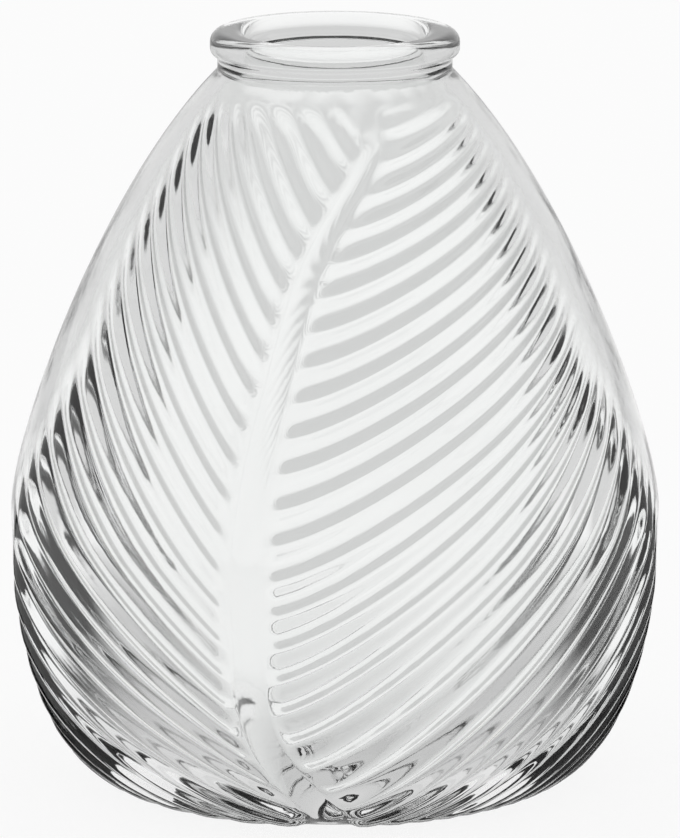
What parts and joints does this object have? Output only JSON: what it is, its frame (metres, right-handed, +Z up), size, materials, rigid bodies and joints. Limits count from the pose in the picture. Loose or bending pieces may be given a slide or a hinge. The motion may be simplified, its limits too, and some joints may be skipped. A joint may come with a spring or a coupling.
{
  "type": "glass vase",
  "caption": "Clear moulded glass flower vase: egg-shaped bowl with a large ribbed leaf in relief on the front and the back, a short neck and a rounded lip.",
  "frame": {"origin": "centre of the resting face under the foot", "axes": "+Z up along the vase's axis, -Y towards the front leaf, +X to the right seen from the front"},
  "size_m": [0.1586, 0.1612, 0.185],
  "materials": {
    "clear_glass": "fire-polished, colourless"
  },
  "bodies": {
    "root": {"base_disc": "clear_glass", "lower_bowl": "clear_glass", "shoulder": "clear_glass", "neck": "clear_glass", "lip": "clear_glass", "front_midrib": "clear_glass", "front_left_ribs": "clear_glass", "front_right_ribs": "clear_glass", "back_midrib": "clear_glass", "back_left_ribs": "clear_glass", "back_right_ribs": "clear_glass"}
  },
  "joints": []
}
